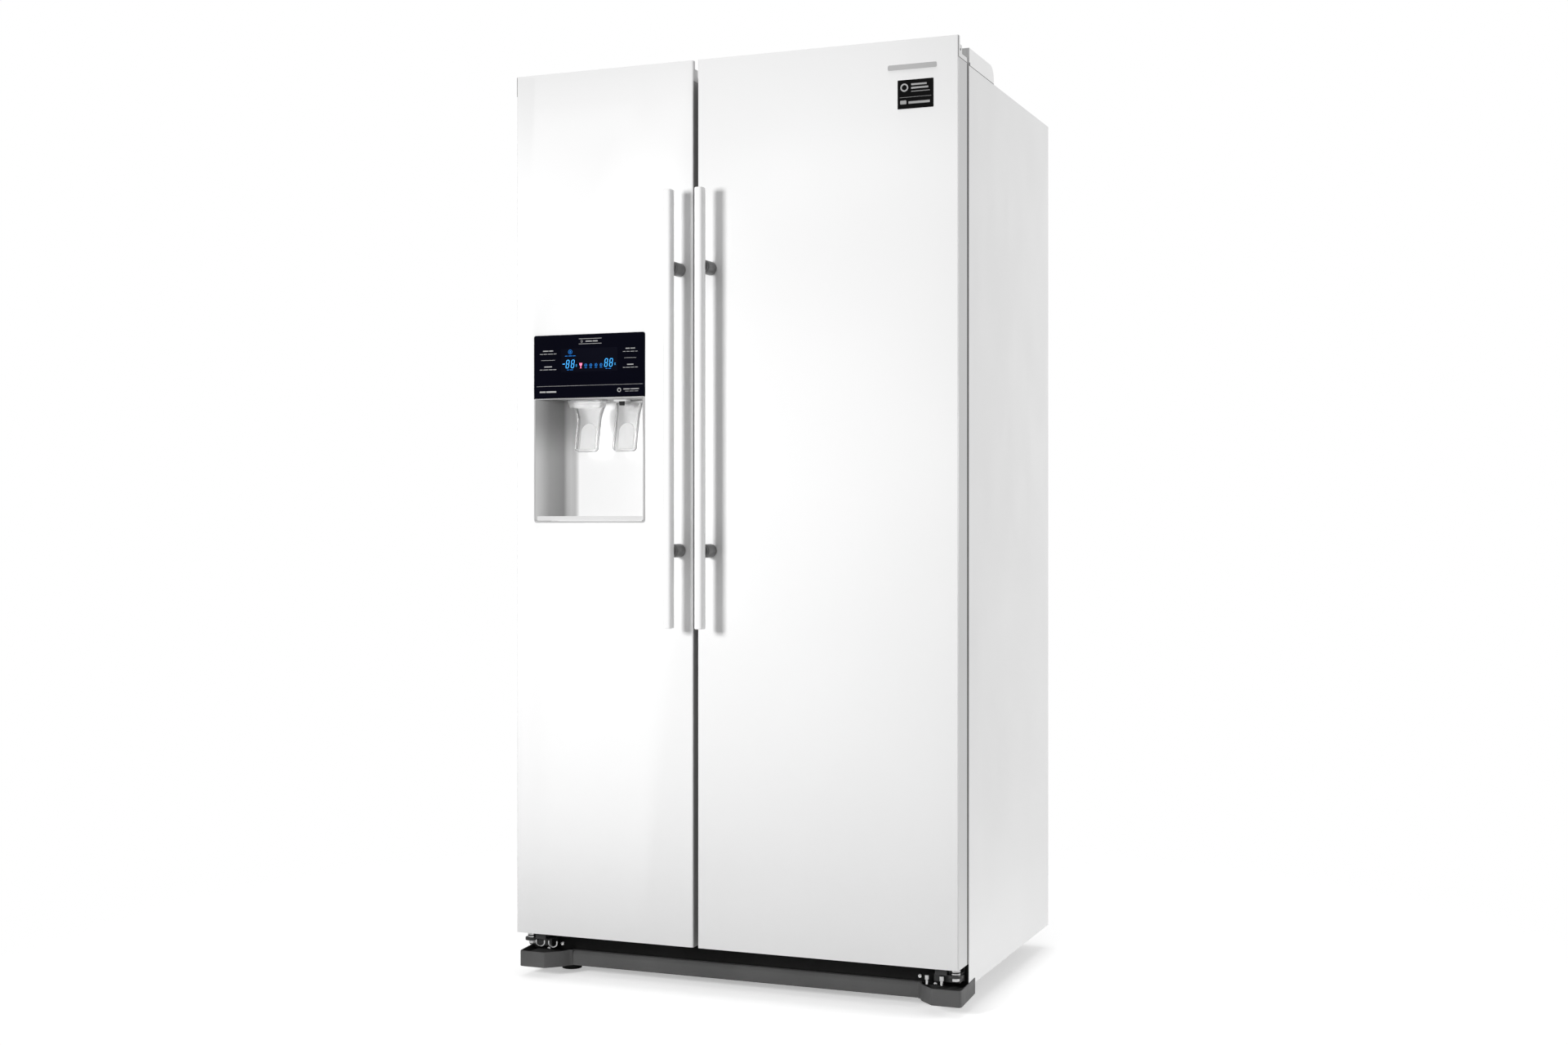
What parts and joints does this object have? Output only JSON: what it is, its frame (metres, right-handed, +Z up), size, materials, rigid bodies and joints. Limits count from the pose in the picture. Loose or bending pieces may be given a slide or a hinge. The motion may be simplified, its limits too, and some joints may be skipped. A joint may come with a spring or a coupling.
{
  "type": "side by side refrigerator",
  "caption": "Free-standing side by side refrigerator and freezer with an ice and water dispenser in the left door, long bar handles, shelves, drawers and door bins.",
  "frame": {"origin": "on the floor, under the middle of the whole object", "axes": "+X across to the right as seen from the front, +Y to the back, +Z up"},
  "size_m": [0.912, 0.734, 1.789],
  "materials": {
    "door_enamel": "gloss",
    "case_enamel": "satin",
    "galvanised_sheet": "satin",
    "white_moulding": "gloss",
    "handle_enamel": "gloss",
    "foam": "matte",
    "grey_seal": "matte",
    "dark_moulding": "satin",
    "black_glass": "gloss",
    "clear_moulding": "gloss",
    "shelf_glass": "gloss",
    "grey_moulding": "satin",
    "compressor_black": "satin",
    "bare_metal": "satin"
  },
  "bodies": {
    "cabinet": {"back_panel": "galvanised_sheet", "base_chassis": "compressor_black", "bottom_hinges": "compressor_black", "cabinet_foam": "foam", "case_panels": "case_enamel", "case_screws": "galvanised_sheet", "compressor": "compressor_black", "condenser": "bare_metal", "control_board_box": "white_moulding", "cord_gland": "grey_seal", "evaporator_covers": "white_moulding", "evaporators": "bare_metal", "fan_motors": "bare_metal", "foot_covers": "dark_moulding", "freezer_liner": "white_moulding", "fridge_liner": "white_moulding", "front_frame": "case_enamel", "hinge_covers": "white_moulding", "ice_bucket": "clear_moulding", "ice_maker": "white_moulding", "kick_plate": "dark_moulding", "machine_cover": "galvanised_sheet", "shelf_panes": "shelf_glass", "shelf_trims": "white_moulding", "top_hinges": "galvanised_sheet", "water_valve": "dark_moulding"},
    "freezer_door": {"freezer_door_skin": "door_enamel", "freezer_door_caps": "white_moulding", "freezer_door_liner": "white_moulding", "freezer_door_foam": "foam", "freezer_door_gasket": "grey_seal", "freezer_door_bins": "clear_moulding", "freezer_handle_bar": "handle_enamel", "freezer_handle_posts": "dark_moulding", "dispenser_housing": "white_moulding", "control_panel": "black_glass", "dispenser_outlets": "clear_moulding", "drip_tray": "grey_moulding"},
    "fridge_door": {"fridge_door_skin": "door_enamel", "fridge_door_caps": "white_moulding", "fridge_door_liner": "white_moulding", "fridge_door_foam": "foam", "fridge_door_gasket": "grey_seal", "fridge_door_bins": "clear_moulding", "fridge_handle_bar": "handle_enamel", "fridge_handle_posts": "dark_moulding"},
    "ice_lever": {"ice_lever": "clear_moulding"},
    "water_lever": {"water_lever": "clear_moulding"},
    "freezer_drawer_lower": {"freezer_drawer_lower": "clear_moulding"},
    "freezer_drawer_upper": {"freezer_drawer_upper": "clear_moulding"},
    "crisper_lower": {"crisper_lower": "clear_moulding"},
    "crisper_upper": {"crisper_upper": "clear_moulding"},
    "levelling_foot_left": {"levelling_foot_left": "dark_moulding"},
    "levelling_foot_right": {"levelling_foot_right": "dark_moulding"},
    "rear_roller_left": {"rear_roller_left": "grey_seal"},
    "rear_roller_right": {"rear_roller_right": "grey_seal"},
    "condenser_fan": {"condenser_fan": "dark_moulding"},
    "freezer_fan": {"freezer_fan": "dark_moulding"},
    "fridge_fan": {"fridge_fan": "dark_moulding"},
    "ice_auger": {"ice_auger": "bare_metal"}
  },
  "joints": [
    {"name": "freezer_door_hinge", "type": "hinge", "parent": "cabinet", "child": "freezer_door", "pos_m": [-0.44, -0.27, 0.09], "axis": [0, 0, -1], "range_deg": [0, 125]},
    {"name": "fridge_door_hinge", "type": "hinge", "parent": "cabinet", "child": "fridge_door", "pos_m": [0.44, -0.27, 0.09], "axis": [0, 0, 1], "range_deg": [0, 125]},
    {"name": "ice_lever_press", "type": "hinge", "parent": "freezer_door", "child": "ice_lever", "pos_m": [-0.3227, -0.24, 1.1425], "axis": [1, 0, 0], "range_deg": [0, 12], "stiffness_Nm_per_rad": 0.5, "springref_deg": -5.73},
    {"name": "water_lever_press", "type": "hinge", "parent": "freezer_door", "child": "water_lever", "pos_m": [-0.2387, -0.24, 1.1425], "axis": [1, 0, 0], "range_deg": [0, 12], "stiffness_Nm_per_rad": 0.5, "springref_deg": -5.73},
    {"name": "freezer_drawer_lower_slide", "type": "slide", "parent": "cabinet", "child": "freezer_drawer_lower", "axis": [0, -1, 0], "range_m": [0, 0.2]},
    {"name": "freezer_drawer_upper_slide", "type": "slide", "parent": "cabinet", "child": "freezer_drawer_upper", "axis": [0, -1, 0], "range_m": [0, 0.2]},
    {"name": "crisper_lower_slide", "type": "slide", "parent": "cabinet", "child": "crisper_lower", "axis": [0, -1, 0], "range_m": [0, 0.2]},
    {"name": "crisper_upper_slide", "type": "slide", "parent": "cabinet", "child": "crisper_upper", "axis": [0, -1, 0], "range_m": [0, 0.2]},
    {"name": "levelling_foot_left_turn", "type": "hinge", "parent": "cabinet", "child": "levelling_foot_left", "pos_m": [-0.396, -0.185, 0.012], "axis": [0, 0, 1], "range_deg": [-720, 720]},
    {"name": "rear_roller_left_spin", "type": "hinge", "parent": "cabinet", "child": "rear_roller_left", "pos_m": [-0.35, 0.32, 0.02], "axis": [1, 0, 0], "continuous": true},
    {"name": "levelling_foot_right_turn", "type": "hinge", "parent": "cabinet", "child": "levelling_foot_right", "pos_m": [0.396, -0.185, 0.012], "axis": [0, 0, 1], "range_deg": [-720, 720]},
    {"name": "rear_roller_right_spin", "type": "hinge", "parent": "cabinet", "child": "rear_roller_right", "pos_m": [0.35, 0.32, 0.02], "axis": [1, 0, 0], "continuous": true},
    {"name": "freezer_fan_spin", "type": "hinge", "parent": "cabinet", "child": "freezer_fan", "pos_m": [-0.2485, 0.233, 1.168], "axis": [0, 1, 0], "continuous": true},
    {"name": "fridge_fan_spin", "type": "hinge", "parent": "cabinet", "child": "fridge_fan", "pos_m": [0.1815, 0.233, 1.168], "axis": [0, 1, 0], "continuous": true},
    {"name": "condenser_fan_spin", "type": "hinge", "parent": "cabinet", "child": "condenser_fan", "pos_m": [-0.03, 0.248, 0.154], "axis": [1, 0, 0], "continuous": true},
    {"name": "ice_auger_spin", "type": "hinge", "parent": "cabinet", "child": "ice_auger", "pos_m": [-0.3227, -0.13, 1.4035], "axis": [0, 1, 0], "continuous": true}
  ],
  "couplings": [
    {"joint": "freezer_drawer_lower_slide", "follows": "freezer_door_hinge", "m_per_rad": 0.091664},
    {"joint": "freezer_drawer_upper_slide", "follows": "freezer_door_hinge", "m_per_rad": 0.091664},
    {"joint": "crisper_lower_slide", "follows": "fridge_door_hinge", "m_per_rad": 0.091664},
    {"joint": "crisper_upper_slide", "follows": "fridge_door_hinge", "m_per_rad": 0.091664}
  ]
}
